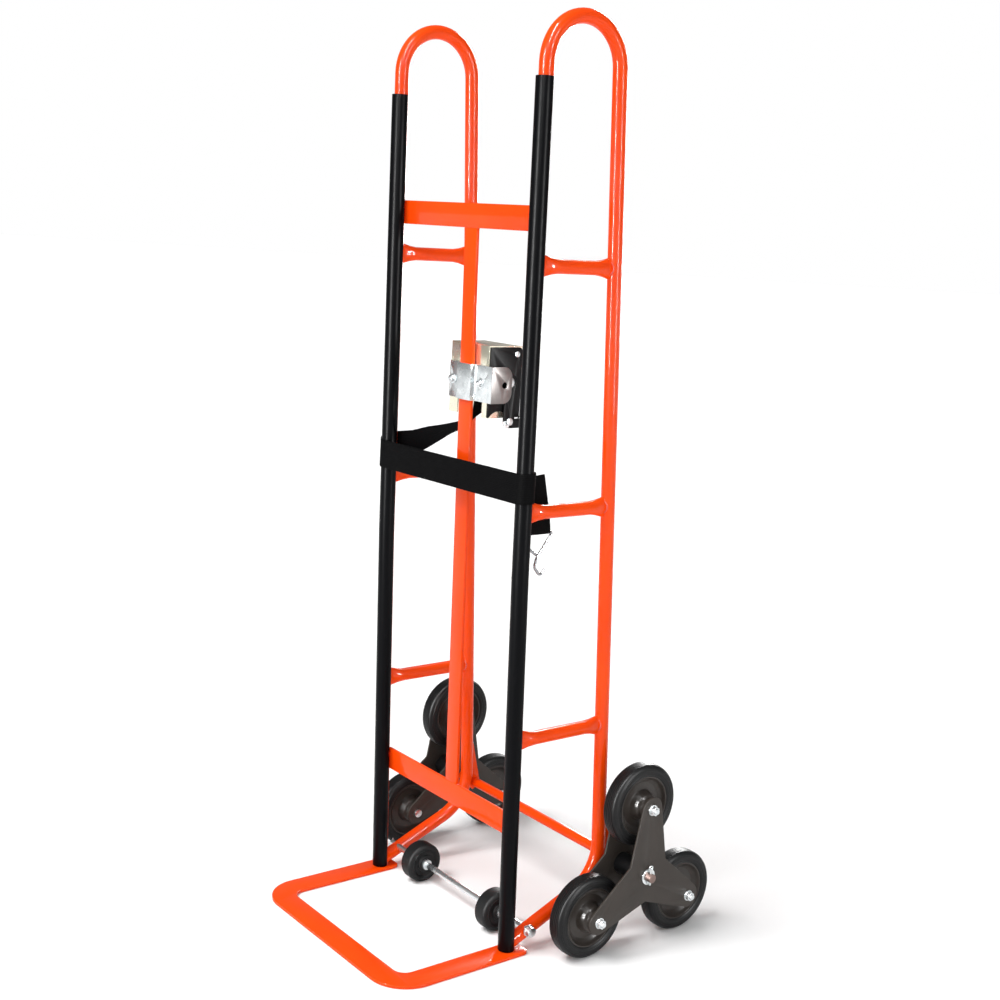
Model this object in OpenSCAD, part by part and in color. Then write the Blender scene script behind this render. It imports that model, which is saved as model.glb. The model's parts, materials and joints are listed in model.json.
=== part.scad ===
// Stair climbing trolley: two bent tube side frames with slide sleeves, a flat toe loop,
// three-wheel climbing clusters on a rear axle, small foot wheels and a webbing strap with its winch.
// X runs across the trolley, the toe points to -Y and +Z is up. The origin is on the floor,
// under the middle of the whole outline.

/* [Side frames] */
// Distance between the two side frames, centre to centre
frame_spacing = 411; // [380:1:440]
// Overall height of the handle loops
overall_height = 1625; // [1500:5:1750]
// Outside diameter of the frame tube
tube_d = 25; // [22:0.5:28]
// Wall of the frame tube
tube_wall = 1.8; // [1.2:0.1:2.5]
// Forward lean of the front rail below its slight bend, in degrees
front_lean_low = 1.8; // [1:0.1:2.5]
// Forward lean of the front rail above its slight bend, in degrees
front_lean_high = 1.05; // [0.5:0.05:2]
// Height of the slight bend in the front rail
front_bend_z = 690; // [600:10:750]
// Forward lean of the rear rail, in degrees
rear_lean = 3.45; // [3:0.05:4]
// Distance from the front rail to the rear rail, measured at the floor
frame_depth = 212; // [190:1:230]
// Radius of the knee at the bottom of the rear rail
knee_r = 90; // [60:1:110]
// Rise of the sloping lower tube, in degrees
lower_slope = 22.8; // [18:0.2:26]

/* [Sleeves and braces] */
// Outside diameter of the slide sleeve
sleeve_d = 30.4; // [29:0.2:34]
// Height of the top of the sleeve
sleeve_top = 1503; // [1300:1:1510]
// Heights of the braces in each side frame
brace_z = [397, 801, 1213];
// Height of a brace where it is flattened against the rails
brace_end_h = 35; // [28:1:40]
// Thickness of a brace where it is flattened
brace_end_t = 12; // [8:1:18]

/* [Cross members] */
// Height of the flat cross bars and width of their flat stock
bar_h = 42; // [35:1:50]
// Thickness of the flat bars
bar_t = 6; // [4:0.5:8]
// Height of the middle of the upper cross bar
top_bar_z = 1288; // [1250:1:1350]
// Height of the middle of the lower cross bar
low_bar_z = 232; // [210:1:260]
// How far the bars' front face lies behind the centre of the front rails
bar_setback = 9; // [5:0.5:10]
// Width of the flat centre post
post_w = 35; // [30:1:45]
// Sideways place of the centre post and winch
post_x = 9; // [-20:1:20]

/* [Toe loop] */
// Outside width of the toe loop
toe_w = 463; // [440:1:500]
// Reach of the toe loop in front of the rails
toe_reach = 261; // [220:1:300]
// How far the toe loop's arms run behind the rails
toe_tail = 31; // [24:1:40]
// Width of the toe loop's flat bar
toe_bar_w = 47; // [40:1:60]
// Thickness of the toe loop's flat bar
toe_t = 6; // [5:0.5:8]
// Outside radius of the toe loop's front corners
toe_corner_r = 70; // [55:1:90]

/* [Climbing clusters] */
// Distance from the cluster axle to each wheel's axis
star_r = 126; // [115:1:135]
// Outside diameter of a cluster tyre
tyre_d = 152; // [140:1:160]
// Width of a cluster tyre
tyre_w = 33; // [28:1:38]
// Diameter of a cluster wheel's rim, which is the tyre's inside diameter
rim_d = 109; // [100:1:115]
// Sideways place of the cluster wheels' middle
wheel_x = 283.5; // [280:0.5:290]
// Distance between the facing sides of the two star plates
star_gap = 65; // [60:1:70]
// Thickness of a star plate
star_t = 4; // [3:0.5:6]
// Radius of the rounded end of a star arm
arm_end_r = 23; // [20:1:26]
// Distance from the axle to the notch between two star arms
arm_notch_r = 49; // [45:1:55]
// Sideways reach of the axle tube that carries the clusters
axle_tube_reach = 246; // [240:0.5:248]
// Distance of the cluster axle behind the front rail's foot
axle_y = 222; // [221:1:230]
// Diameter of the cluster axle
axle_d = 16; // [14:1:18]
// Outside diameter of the axle tube
axle_tube_d = 19; // [18.5:0.5:24]

/* [Foot wheels] */
// Diameter of a foot wheel
foot_wheel_d = 76; // [70:1:80]
// Width of a foot wheel
foot_wheel_w = 33; // [28:1:36]
// Sideways place of a foot wheel's inner face
foot_wheel_x = 104; // [90:1:120]
// Distance of the foot axle behind the front rail's foot
foot_axle_y = 36; // [34:1:40]
// Diameter of the foot axle
foot_axle_d = 12; // [8:1:12]

/* [Winch and strap] */
// Width of the winch housing
winch_w = 110; // [100:1:120]
// Depth of the winch housing
winch_depth = 72; // [66:1:80]
// Height of the winch housing
winch_h = 126; // [120:1:134]
// Height of the bottom of the winch housing
winch_z = 942; // [900:1:1000]
// Sheet thickness of the winch housing
winch_t = 2.5; // [2:0.5:3]
// Outside diameter of the ratchet gear
gear_d = 84; // [76:1:86]
// Number of teeth of the ratchet gear
gear_teeth = 18; // [12:1:24]
// Width of the webbing
strap_w = 52; // [45:1:55]
// Thickness of the webbing
strap_t = 2.4; // [2:0.1:3]
// Height of the middle of the webbing where it crosses the front
strap_z = 840; // [780:1:880]
// Diameter of the hook's wire
hook_wire_d = 5; // [4:0.5:6]

/* [Hidden] */
$fn = 48;
// Radial gap of a wheel or a star on its pin
running = 0.05;
// Side gap between parts that turn against each other
side_gap = 0.5;
tube_r = tube_d / 2;
bore_r = tube_r - tube_wall;
rail_x = frame_spacing / 2;
lower_foot_z = 17;
tyre_r = tyre_d / 2;
axle_z = tyre_r + star_r / 2;
axle_r = axle_d / 2;
foot_axle_z = foot_wheel_d / 2;
foot_axle_r = foot_axle_d / 2;
bush_r = 8;
wheel_bolt_r = 5;
sleeve_r = sleeve_d / 2;
sleeve_shift = 2;

// Place of the front and rear rails' centre lines at a height
function front_y(z) = z < front_bend_z
    ? -z * tan(front_lean_low)
    : -front_bend_z * tan(front_lean_low) - (z - front_bend_z) * tan(front_lean_high);
function rear_y(z) = frame_depth - z * tan(rear_lean);

// Corner points of one side frame's centre line, as [y, z]
loop_z = overall_height - tube_r;
knee_y = (frame_depth - lower_foot_z * tan(rear_lean)) / (1 + tan(lower_slope) * tan(rear_lean));
side_pts = [
    [0, 0],
    [front_y(front_bend_z), front_bend_z],
    [front_y(loop_z), loop_z],
    [rear_y(loop_z), loop_z],
    [knee_y, lower_foot_z + knee_y * tan(lower_slope)],
    [0, lower_foot_z]
];
// The bore of the lower stretch stops at the wall of the front rail
bore_pts = [
    for (i = [0 : 5])
        i < 5 ? side_pts[i] : [tube_r, lower_foot_z + tube_r * tan(lower_slope)]
];
// The two top bends meet in the middle of the handle loop
loop_r = (rear_y(loop_z) - front_y(loop_z))
    / (tan((90 + front_lean_high) / 2) + tan((90 - rear_lean) / 2));
side_bends = [0, 0, loop_r, loop_r, knee_r, 0];

function unit(v) = v / norm(v);
function mix(a, b, k) = a + (b - a) * k;
function heading(pts, i) = unit(pts[i + 1] - pts[i]);
function turn(pts, i) = let (u = heading(pts, i - 1), v = heading(pts, i))
    atan2(u[0] * v[1] - u[1] * v[0], u * v);
function cut_back(pts, bends, i) = i == 0 || i == len(pts) - 1
    ? 0
    : bends[i] * tan(abs(turn(pts, i)) / 2);

// A round bar from a to b, in the plane of z = 0
module straight(a, b, r) {
    run = b - a;
    translate([a[0], a[1], 0])
        rotate([0, 0, atan2(run[1], run[0])])
            rotate([0, 90, 0])
                cylinder(h = norm(run), r = r);
}

// A round bar bent about the corner i of a line of points
module bend(pts, bends, i, r) {
    a = turn(pts, i);
    u = heading(pts, i - 1);
    from = pts[i] - u * cut_back(pts, bends, i);
    centre = from + sign(a) * bends[i] * [-u[1], u[0]];
    begin = atan2(from[1] - centre[1], from[0] - centre[0]);
    translate([centre[0], centre[1], 0])
        rotate([0, 0, a > 0 ? begin : begin + a])
            rotate_extrude(angle = abs(a), $fn = 96)
                translate([bends[i], 0])
                    circle(r = r, $fn = 48);
}

// A whole bent bar, drawn with its plane turned to face along X.
// A hair-thin collar covers each place where a bend and a straight stretch meet.
module bent_bar(pts, bends, r) {
    gap = 0.1;
    collar = 0.8;
    rotate([90, 0, 90]) {
        for (i = [0 : len(pts) - 2]) {
            u = heading(pts, i);
            from = pts[i] + u * cut_back(pts, bends, i);
            to = pts[i + 1] - u * cut_back(pts, bends, i + 1);
            if (norm(to - from) > 1) {
                straight(
                    from + (i == 0 ? 0 : gap) * u,
                    to - (i == len(pts) - 2 ? 0 : gap) * u,
                    r
                );
                if (i > 0 && bends[i] > 0)
                    straight(from - collar * u, from + collar * u, r + 0.04);
            }
            if (i < len(pts) - 2)
                straight(to - collar * u, to + collar * u, r + 0.04);
        }
        for (i = [1 : len(pts) - 2])
            if (bends[i] > 0)
                bend(pts, bends, i, r);
    }
}

// A cylinder along X, from its left face
module rod_x(x, y, z, length, r) {
    translate([x, y, z])
        rotate([0, 90, 0])
            cylinder(h = length, r = r);
}

// Draws its children at the right, or mirrored to the left
module on_side(side) {
    if (side > 0) children();
    else mirror([1, 0, 0]) children();
}

// ---- Side frames ----

module side_rail(side) {
    color("orangered")
        on_side(side)
            translate([rail_x, 0, 0])
                difference() {
                    bent_bar(side_pts, side_bends, tube_r);
                    bent_bar(bore_pts, side_bends, bore_r);
                    translate([-tube_d, -tube_d * 2, toe_t - 40])
                        cube([tube_d * 2, tube_d * 4, 40]);
                    rod_x(-tube_d, foot_axle_y, foot_axle_z, tube_d * 2, foot_axle_r);
                }
}

// Only the straight stretches, used to shape what is welded against them
module rail_cutter() {
    for (side = [-1, 1])
        translate([side * rail_x, 0, 0])
            rotate([90, 0, 90]) {
                straight([0, 0], side_pts[1], tube_r);
                straight(side_pts[1], side_pts[2], tube_r);
                straight(side_pts[3], side_pts[4], tube_r);
            }
}

// Joins rings of points, each with the same number of points, into a closed skin
module skin(rings) {
    n = len(rings[0]);
    m = len(rings);
    faces = concat(
        [[for (k = [0 : n - 1]) k]],
        [
            for (i = [0 : m - 2], k = [0 : n - 1])
                let (p = n * i + k, q = n * i + (k + 1) % n)
                    each [[p, p + n, q + n], [p, q + n, q]]
        ],
        [[for (k = [n - 1 : -1 : 0]) n * (m - 1) + k]]
    );
    polyhedron(points = [for (ring = rings) each ring], faces = faces, convexity = 6);
}

function arc_points(r, shift, from, to, n) = [
    for (i = [0 : n])
        let (a = mix(from, to, i / n))
            [r * cos(a), shift + r * sin(a)]
];

// The sleeve's open section: an outer and an inner arc, closed behind the rail's widest line
sleeve_back = 6;
bore_of_sleeve = tube_r + 0.1;
outer_from = asin((sleeve_back + sleeve_shift) / sleeve_r);
inner_from = asin(sleeve_back / bore_of_sleeve);
sleeve_section = concat(
    arc_points(sleeve_r, -sleeve_shift, -180 - outer_from, outer_from, 40),
    arc_points(bore_of_sleeve, 0, inner_from, -180 - inner_from, 36)
);

// The right sleeve reaches a little higher than the left one
sleeve_step = 8;

module slide_sleeve(side) {
    color("#161616")
        translate([side * rail_x, 0, 0])
            skin([
                for (z = [toe_t + 1, front_bend_z, sleeve_top + side * sleeve_step])
                    [for (p = sleeve_section) [p[0], front_y(z) + p[1], z]]
            ]);
}

// An oval ring of a brace, standing across Y
function oval(y, w, h, sides) = [
    for (k = [0 : sides - 1])
        let (a = 360 * k / sides)
            [w / 2 * sin(a), y, h / 2 * cos(a)]
];

// A tube that is squeezed flat at both ends, as stations of [place, width, height]
module squeezed_tube(y0, y1, w, h, mid_d) {
    flat = 8;
    taper = 34;
    soft = 0.45;
    side = [
        [0, w, h],
        [flat, w, h],
        [mix(flat, taper, soft), mix(w, mid_d, 0.62), mix(h, mid_d, 0.62)],
        [taper, mid_d, mid_d]
    ];
    skin(concat(
        [for (s = side) oval(y0 + s[0], s[1], s[2], 28)],
        [for (k = [3 : -1 : 0]) oval(y1 - side[k][0], side[k][1], side[k][2], 28)]
    ));
}

module brace(side, level) {
    z = brace_z[level];
    wall = 3;
    y0 = front_y(z) + 9;
    y1 = rear_y(z) - 9;
    color("orangered")
        difference() {
            translate([side * rail_x, 0, z])
                squeezed_tube(y0, y1, brace_end_t, brace_end_h, tube_d - 0.5);
            translate([side * rail_x, 0, z])
                squeezed_tube(y0 - 1, y1 + 1, brace_end_t - wall, brace_end_h - wall, tube_d - wall);
            rail_cutter();
        }
}

// ---- Cross members ----

module cross_bar(z, lean) {
    color("orangered")
        difference() {
            translate([0, front_y(z) + bar_setback, z])
                rotate([lean, 0, 0])
                    translate([-rail_x + 5, 0, -bar_h / 2])
                        cube([2 * rail_x - 10, bar_t, bar_h]);
            rail_cutter();
        }
}

post_bottom = low_bar_z + bar_h / 2;
post_top = top_bar_z - bar_h / 2;
post_low_y = front_y(low_bar_z) + bar_setback;
post_lean = atan((post_low_y - front_y(top_bar_z) - bar_setback) / (top_bar_z - low_bar_z));
function post_y(z) = post_low_y - (z - low_bar_z) * tan(post_lean);

module centre_post() {
    color("orangered")
        translate([post_x - post_w / 2, post_y(post_bottom), post_bottom])
            rotate([post_lean, 0, 0])
                cube([post_w, bar_t, (post_top - post_bottom) / cos(post_lean)]);
}

module toe_outline(inset) {
    half = toe_w / 2 - inset;
    r = toe_corner_r - inset;
    front = -toe_reach + inset;
    union() {
        for (side = [-1, 1])
            translate([side * (half - r), front + r])
                circle(r = r, $fn = 96);
        translate([-half + r, front])
            square([2 * (half - r), r]);
        translate([-half, front + r])
            square([2 * half, toe_reach + toe_tail]);
    }
}

module toe_loop() {
    tip_r = 12;
    half = toe_w / 2;
    color("orangered")
        linear_extrude(toe_t)
            difference() {
                toe_outline(0);
                toe_outline(toe_bar_w);
                translate([-toe_w, toe_tail])
                    square([2 * toe_w, toe_reach]);
                for (side = [-1, 1])
                    for (x = [half, half - toe_bar_w])
                        difference() {
                            translate([side * x - tip_r, toe_tail - tip_r])
                                square([2 * tip_r, 2 * tip_r]);
                            translate([side * (x - tip_r * sign(x - half + 1)), toe_tail - tip_r])
                                circle(r = tip_r);
                        }
            }
}

module axle_tube() {
    color("orangered")
        difference() {
            rod_x(-axle_tube_reach, axle_y, axle_z, 2 * axle_tube_reach, axle_tube_d / 2);
            rod_x(-axle_tube_reach - 1, axle_y, axle_z, 2 * axle_tube_reach + 2, axle_r + running);
        }
}

// Two gusset plates that tie the axle tube to the rear rails
module axle_brackets() {
    top = 225;
    color("orangered")
        for (side = [-1, 1])
            translate([side * rail_x - 2.5, 0, 0])
                difference() {
                    rotate([90, 0, 90])
                        linear_extrude(5)
                            polygon([
                                [rear_y(top) + tube_r - 4, top],
                                [rear_y(top) + tube_r + 2, top],
                                [axle_y + 12, axle_z + 4],
                                [axle_y + 12, axle_z - 8],
                                [axle_y - 4, axle_z - 16],
                                [axle_y - 12, axle_z - 8]
                            ]);
                    translate([2.5, 0, 0])
                        bent_bar(side_pts, side_bends, tube_r);
                    rod_x(-1, axle_y, axle_z, 7, axle_tube_d / 2);
                }
}

// ---- Cluster axle and its fastenings ----

washer_x = wheel_x + star_gap / 2 + star_t + side_gap;
axle_reach = washer_x + 13;

module cluster_axle() {
    color("silver")
        difference() {
            rod_x(-axle_reach, axle_y, axle_z, 2 * axle_reach, axle_r);
            for (side = [-1, 1])
                translate([side * (washer_x + 7), axle_y, axle_z])
                    cylinder(h = 2 * axle_d, r = 2, center = true);
        }
}

module axle_washers() {
    color("silver")
        for (side = [-1, 1])
            on_side(side)
                difference() {
                    rod_x(washer_x, axle_y, axle_z, 2.5, 15);
                    rod_x(washer_x - 1, axle_y, axle_z, 5, axle_r + running);
                }
}

// Split pins: a straight leg through the axle and a bent eye above it
module split_pins() {
    color("silver")
        for (side = [-1, 1])
            translate([side * (washer_x + 7), axle_y, axle_z]) {
                translate([0, 0, -14])
                    cylinder(h = 30, r = 1.9);
                translate([0, 0, 19])
                    rotate([90, 0, 90])
                        rotate_extrude()
                            translate([3.4, 0])
                                circle(r = 1.4);
            }
}

// ---- Star clusters ----

function arm_dir(i) = 90 + 120 * i;
function arm_point(i) = star_r * [cos(arm_dir(i)), sin(arm_dir(i))];

// One arm of the star, as [y, z] about the axle, with sides tangent to its round end
module star_arm(i) {
    notch_a = arm_notch_r * [cos(arm_dir(i) + 60), sin(arm_dir(i) + 60)];
    notch_b = arm_notch_r * [cos(arm_dir(i) - 60), sin(arm_dir(i) - 60)];
    reach = norm(arm_point(i) - notch_a);
    out_a = arm_point(i) - notch_a;
    out_b = arm_point(i) - notch_b;
    spread = asin(arm_end_r / reach);
    run = reach * cos(spread);
    dir_a = atan2(out_a[1], out_a[0]) + spread;
    dir_b = atan2(out_b[1], out_b[0]) - spread;
    polygon([
        [0, 0],
        notch_b,
        notch_b + run * [cos(dir_b), sin(dir_b)],
        notch_a + run * [cos(dir_a), sin(dir_a)],
        notch_a
    ]);
    translate(arm_point(i))
        circle(r = arm_end_r, $fn = 64);
}

module star_plate(side, x) {
    color("#463c36")
        on_side(side)
            translate([x, axle_y, axle_z])
                rotate([90, 0, 90])
                    linear_extrude(star_t)
                        difference() {
                            union() {
                                for (i = [0 : 2])
                                    star_arm(i);
                            }
                            circle(r = axle_r + running);
                            for (i = [0 : 2])
                                translate(arm_point(i))
                                    circle(r = wheel_bolt_r + 0.2);
                        }
}

module inner_star(side) {
    star_plate(side, wheel_x - star_gap / 2 - star_t);
}

module outer_star(side) {
    star_plate(side, wheel_x + star_gap / 2);
}

// The hub tube that holds the two plates apart and turns on the axle
module star_hub(side) {
    color("#202020")
        on_side(side)
            difference() {
                rod_x(wheel_x - star_gap / 2, axle_y, axle_z, star_gap, 20);
                rod_x(wheel_x - star_gap / 2 - 1, axle_y, axle_z, star_gap + 2, axle_r + running);
            }
}

module at_wheel(side, i) {
    on_side(side)
        translate([wheel_x, axle_y + arm_point(i)[0], axle_z + arm_point(i)[1]])
            children();
}

// Spacer bushes that the wheels turn on
module wheel_bushes(side) {
    color("silver")
        for (i = [0 : 2])
            at_wheel(side, i)
                difference() {
                    rod_x(-star_gap / 2, 0, 0, star_gap, bush_r);
                    rod_x(-star_gap / 2 - 1, 0, 0, star_gap + 2, wheel_bolt_r + 0.2);
                }
}

// Bolts with a button head inside and a nut and thread end outside
module wheel_bolts(side) {
    inside = -star_gap / 2 - star_t;
    outside = star_gap / 2 + star_t;
    color("silver")
        for (i = [0 : 2])
            at_wheel(side, i) {
                rod_x(inside, 0, 0, outside - inside + 12, wheel_bolt_r);
                rod_x(inside - 4, 0, 0, 4, 8);
                rod_x(outside, 0, 0, 1.5, 10);
                translate([outside + 1.5, 0, 0])
                    rotate([0, 90, 0])
                        cylinder(h = 7, r = 8.6, $fn = 6);
            }
}

// Half profile of a rim as [radius, along the axle], bore to tyre seat
hub_half = star_gap / 2 - side_gap;
rim_half = tyre_w / 2 - 2.5;
rim_r = rim_d / 2;
rim_profile = [
    [bush_r + running, hub_half],
    [14, hub_half],
    [14, hub_half - 4],
    [18, hub_half - 5],
    [18, hub_half - 9],
    [23, hub_half - 12],
    [28, 5],
    [41, 3.5],
    [48, 8],
    [rim_r - 2.5, rim_half],
    [rim_r, rim_half]
];

module rim(side, i) {
    color("#3a322e")
        at_wheel(side, i)
            rotate([0, 90, 0])
                rotate_extrude($fn = 96)
                    polygon(concat(
                        rim_profile,
                        [for (k = [len(rim_profile) - 1 : -1 : 0]) [rim_profile[k][0], -rim_profile[k][1]]]
                    ));
}

module tyre_section() {
    shoulder = 6;
    groove = [3, 2];
    difference() {
        union() {
            translate([rim_r, -tyre_w / 2])
                square([tyre_r - rim_r - shoulder, tyre_w]);
            translate([rim_r, -tyre_w / 2 + shoulder])
                square([tyre_r - rim_r, tyre_w - 2 * shoulder]);
            for (end = [-1, 1])
                translate([tyre_r - shoulder, end * (tyre_w / 2 - shoulder)])
                    circle(r = shoulder, $fn = 32);
        }
        for (at = [-6.5, 0, 6.5])
            translate([tyre_r - groove[1], at - groove[0] / 2])
                square([groove[1] + 1, groove[0]]);
    }
}

module tyre(side, i) {
    color("#1c1c1e")
        at_wheel(side, i)
            rotate([0, 90, 0])
                rotate_extrude($fn = 96)
                    tyre_section();
}

// ---- Foot wheels ----

module foot_axle() {
    color("silver")
        difference() {
            rod_x(-rail_x - 17, foot_axle_y, foot_axle_z, 2 * rail_x + 36, foot_axle_r);
            translate([-rail_x - 15, foot_axle_y, foot_axle_z])
                cylinder(h = 2 * foot_axle_d, r = 1.2, center = true);
        }
}

// Push nuts beside each wheel, the right end's head and washer, and the left end's pin
module foot_axle_fasteners() {
    gap = side_gap;
    color("silver") {
        for (side = [-1, 1])
            on_side(side)
                for (place = [foot_wheel_x - gap - 6, foot_wheel_x + foot_wheel_w + gap])
                    difference() {
                        rod_x(place, foot_axle_y, foot_axle_z, 6, 10);
                        rod_x(place - 1, foot_axle_y, foot_axle_z, 8, foot_axle_r);
                    }
        difference() {
            rod_x(rail_x + tube_r + 0.1, foot_axle_y, foot_axle_z, 2.5, 11);
            rod_x(rail_x + tube_r - 1, foot_axle_y, foot_axle_z, 5, foot_axle_r);
        }
        difference() {
            rod_x(rail_x + tube_r + 2.6, foot_axle_y, foot_axle_z, 9, 9);
            rod_x(rail_x + tube_r, foot_axle_y, foot_axle_z, foot_axle_r + 1.5, foot_axle_r);
        }
        translate([-rail_x - 15, foot_axle_y, foot_axle_z - 10])
            cylinder(h = 20, r = 1.1);
    }
}

module foot_wheel(side) {
    w = foot_wheel_w;
    r = foot_wheel_d / 2;
    edge = 7;
    color("#161616")
        on_side(side)
            translate([foot_wheel_x, foot_axle_y, foot_axle_z])
                rotate([0, 90, 0])
                    rotate_extrude($fn = 96) {
                        translate([foot_axle_r + running, 0])
                            square([16 - foot_axle_r - running, w]);
                        translate([15, 4])
                            square([r - edge - 15, w - 8]);
                        translate([r - edge - 6, edge])
                            square([edge + 6, w - 2 * edge]);
                        for (end = [edge, w - edge])
                            translate([r - edge, end])
                                circle(r = edge, $fn = 32);
                    }
}

// ---- Strap winch ----

winch_x0 = post_x - winch_w / 2;
winch_x1 = post_x + winch_w / 2;
winch_y0 = post_y(winch_z) + bar_t + 0.2;
spool_y = winch_y0 + 46;
spool_z = winch_z + 62;
spool_r = 10;
gear_r = gear_d / 2;
gear_x = winch_x1 - 10;
gear_t = 5;
clamp_z = 969;
clamp_h = 64;
clamp_t = 2.5;
clamp_ear_x = winch_x1 + 13;
clamp_bolts = [winch_x0 + 11, winch_x1 - 17];
clamp_bolt_z = clamp_z + clamp_h / 2;

// Open-backed sheet housing with a slot in front for the webbing
module winch_housing() {
    t = winch_t;
    color("#cfc79a")
        difference() {
            translate([winch_x0, winch_y0, winch_z])
                cube([winch_w, winch_depth, winch_h]);
            translate([winch_x0 + t, winch_y0 + t, winch_z - 1])
                cube([winch_w - 2 * t, winch_depth, winch_h - t + 1]);
            translate([post_x - 30, winch_y0 - 1, winch_z - 1])
                cube([72, t + 2, 33]);
            rod_x(winch_x0 - 1, spool_y, spool_z, winch_w + 2, spool_r + running);
            rod_x(winch_x1 - 8, pawl_y, pawl_z, 16, 3);
            for (x = clamp_bolts)
                translate([x, winch_y0 - 1, clamp_bolt_z])
                    rotate([-90, 0, 0])
                        cylinder(h = t + 2, r = 3.1);
        }
}

// Black cover plate on the right of the housing, notched along its lower edge
module winch_side_plate() {
    color("#141414")
        translate([winch_x1, 0, 0])
            rotate([90, 0, 90])
                linear_extrude(winch_t)
                    difference() {
                        translate([winch_y0 + 2, winch_z + 1])
                            union() {
                                square([winch_depth - 10, winch_h - 3]);
                                square([winch_depth - 2, winch_h - 11]);
                                translate([winch_depth - 10, winch_h - 11])
                                    circle(r = 8);
                            }
                        translate([winch_y0 + 26, winch_z - 14])
                            circle(r = 26, $fn = 64);
                        translate([spool_y, spool_z])
                            circle(r = spool_r + 1);
                        translate([pawl_y, pawl_z])
                            circle(r = 3);
                    }
}

// Top-hat clamp that holds the housing to the post; its right flange ends in a bent ear
module winch_clamp() {
    t = clamp_t;
    front = post_y(clamp_z + clamp_h) - t - 0.5;
    depth = winch_y0 - front;
    left = post_x - post_w / 2 - t;
    inner_w = post_w + 2 * t;
    ear_r = 18;
    color("#c9ccd2")
        difference() {
            union() {
                translate([left, front, clamp_z])
                    cube([inner_w, t, clamp_h]);
                for (x = [left, left + inner_w - t])
                    translate([x, front, clamp_z])
                        cube([t, depth, clamp_h]);
                translate([winch_x0 + 1, winch_y0 - t, clamp_z])
                    cube([left - winch_x0 - 1 + t, t, clamp_h]);
                translate([left + inner_w - t, winch_y0 - t, clamp_z])
                    cube([clamp_ear_x - left - inner_w + 2 * t, t, clamp_h]);
                translate([clamp_ear_x, 0, 0])
                    rotate([90, 0, 90])
                        linear_extrude(t)
                            union() {
                                translate([winch_y0 - t, clamp_z])
                                    square([26, clamp_h]);
                                translate([winch_y0, clamp_z + ear_r])
                                    square([42, clamp_h - 2 * ear_r]);
                                for (z = [ear_r, clamp_h - ear_r])
                                    translate([winch_y0 + 42 - ear_r, clamp_z + z])
                                        circle(r = ear_r);
                            }
            }
            for (x = clamp_bolts)
                translate([x, winch_y0 - t - 1, clamp_bolt_z])
                    rotate([-90, 0, 0])
                        cylinder(h = t + 2, r = 3.1);
            rod_x(clamp_ear_x - 1, winch_y0 + 26, clamp_bolt_z, t + 2, ear_hole_r);
        }
}
ear_hole_r = 5.5;

module clamp_bolts_and_nuts() {
    color("silver")
        for (x = clamp_bolts)
            translate([x, winch_y0 - clamp_t, clamp_bolt_z]) {
                rotate([-90, 0, 0])
                    cylinder(h = 14, r = 3);
                rotate([90, 0, 0])
                    cylinder(h = 1.5, r = 9);
                translate([0, -1.5, 0])
                    rotate([90, 0, 0])
                        cylinder(h = 5, r = 6.4, $fn = 6);
                translate([0, -6.5, 0])
                    rotate([90, 0, 0])
                        cylinder(h = 3, r = 3);
                translate([0, clamp_t + winch_t, 0])
                    rotate([-90, 0, 0])
                        cylinder(h = 5, r = 5.8, $fn = 6);
            }
}

module winch_spool() {
    color("silver")
        rod_x(winch_x0 - 3, spool_y, spool_z, winch_w + 9, spool_r);
}

// The turns of webbing wound on the spool
module webbing_roll() {
    color("#101010")
        difference() {
            rod_x(roll_x, spool_y, spool_z, strap_w, roll_r);
            rod_x(roll_x - 1, spool_y, spool_z, strap_w + 2, spool_r);
        }
}
roll_x = post_x - 10;
roll_r = 25;

module ratchet_gear() {
    color("#b9a24a")
        translate([gear_x, spool_y, spool_z])
            rotate([90, 0, 90])
                linear_extrude(gear_t)
                    difference() {
                        polygon([
                            for (i = [0 : gear_teeth - 1], step = [0, 1])
                                let (a = 360 / gear_teeth * (i + 0.12 * step))
                                    (step == 0 ? gear_r : gear_r - 7) * [cos(a), sin(a)]
                        ]);
                        circle(r = spool_r);
                    }
}

pawl_y = spool_y + 14;
pawl_z = winch_z + winch_h - 14;
// Where the pawl's nose rests, just clear of the teeth
nose_y = spool_y + (gear_r + 2.3) * cos(48);
nose_z = spool_z + (gear_r + 2.3) * sin(48);

module pawl() {
    color("silver")
        translate([gear_x, 0, 0])
            rotate([90, 0, 90])
                linear_extrude(gear_t)
                    difference() {
                        hull() {
                            translate([pawl_y, pawl_z])
                                circle(r = 7);
                            translate([nose_y, nose_z])
                                circle(r = 1.5);
                        }
                        translate([pawl_y, pawl_z])
                            circle(r = 3 + running);
                    }
}

module pawl_pin() {
    color("silver") {
        rod_x(gear_x - 6, pawl_y, pawl_z, winch_x1 - gear_x + 6 + winch_t, 3);
        rod_x(winch_x1 + winch_t, pawl_y, pawl_z, 1.5, 5);
    }
}

lever_x = winch_x0 + winch_w + winch_t + 2;
lever_t = 3;
knob_back = 28;

// Hand lever on the spool's axis, with a rounded tab at its lower end
module ratchet_lever() {
    top_r = 15;
    tab_r = 12;
    color("#c9ccd2")
        translate([lever_x, 0, 0])
            rotate([90, 0, 90])
                linear_extrude(lever_t)
                    difference() {
                        union() {
                            translate([spool_y, spool_z])
                                circle(r = top_r);
                            translate([spool_y - tab_r, spool_z - 68])
                                square([2 * tab_r, 68]);
                            translate([spool_y, spool_z - 68])
                                circle(r = tab_r);
                            translate([spool_y, spool_z - 80])
                                square([knob_back, 17]);
                        }
                        translate([spool_y, spool_z])
                            circle(r = spool_r + running);
                        translate([spool_y, spool_z - 68])
                            circle(r = 3);
                    }
}

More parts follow.
